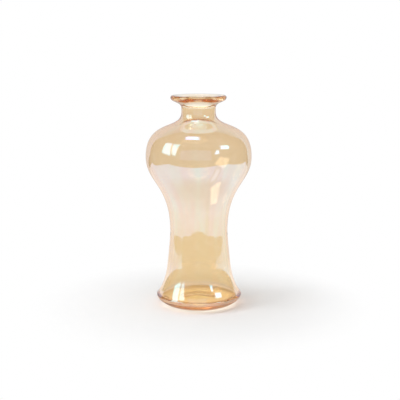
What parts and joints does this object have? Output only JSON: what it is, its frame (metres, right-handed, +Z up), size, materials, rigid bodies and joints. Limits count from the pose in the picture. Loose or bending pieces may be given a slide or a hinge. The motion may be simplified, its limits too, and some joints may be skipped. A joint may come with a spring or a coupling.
{
  "type": "bud vase",
  "caption": "Amber lustre glass bud vase: flared foot, narrow waist, full round belly, short neck with a straight bore and a flat flared lip.",
  "frame": {"origin": "centre of the standing ring, on the surface that the vase stands on", "axes": "+Z up along the axis of the vase, out of its mouth"},
  "size_m": [0.1, 0.1, 0.2],
  "materials": {
    "amber_lustre_glass": "fire-polished clear glass with a thin amber lustre that shows pearly pink and green where it mirrors light"
  },
  "bodies": {
    "root": {"standing_ring": "amber_lustre_glass", "base_disc": "amber_lustre_glass", "skirt": "amber_lustre_glass", "bell": "amber_lustre_glass", "shoulder": "amber_lustre_glass", "neck": "amber_lustre_glass", "lip": "amber_lustre_glass"}
  },
  "joints": []
}
